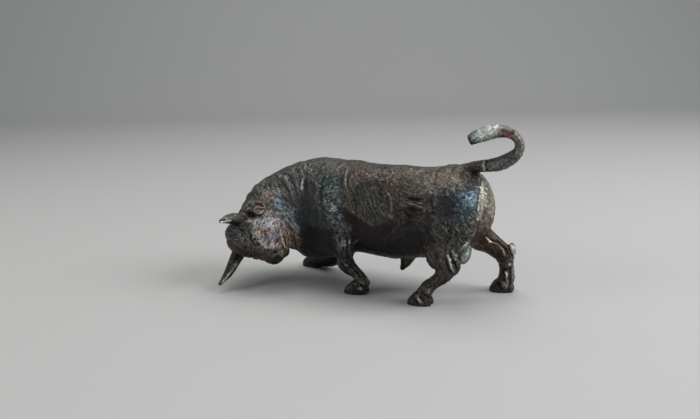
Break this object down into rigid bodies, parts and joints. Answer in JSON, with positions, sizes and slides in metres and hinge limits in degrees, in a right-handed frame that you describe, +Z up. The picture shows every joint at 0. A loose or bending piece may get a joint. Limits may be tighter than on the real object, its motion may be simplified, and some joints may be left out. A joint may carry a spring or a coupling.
{
  "type": "bronze bull sculpture",
  "caption": "Small cast bronze bull standing on its hooves, head lowered and twisted to its left, horns low, tail hooked up over the rump.",
  "frame": {"origin": "middle of the bounding box in plan, on the ground plane that the flat hoof soles stand on", "axes": "+Z up, the bull faces -X, its left flank is towards -Y"},
  "size_m": [0.1832, 0.0878, 0.1036],
  "materials": {
    "bronze": "dark brown-grey cast bronze with a worn, pitted, semi-gloss patina, tan on the upper surfaces and grey-green in places"
  },
  "bodies": {
    "root": {"bull_casting": "bronze"}
  },
  "joints": []
}
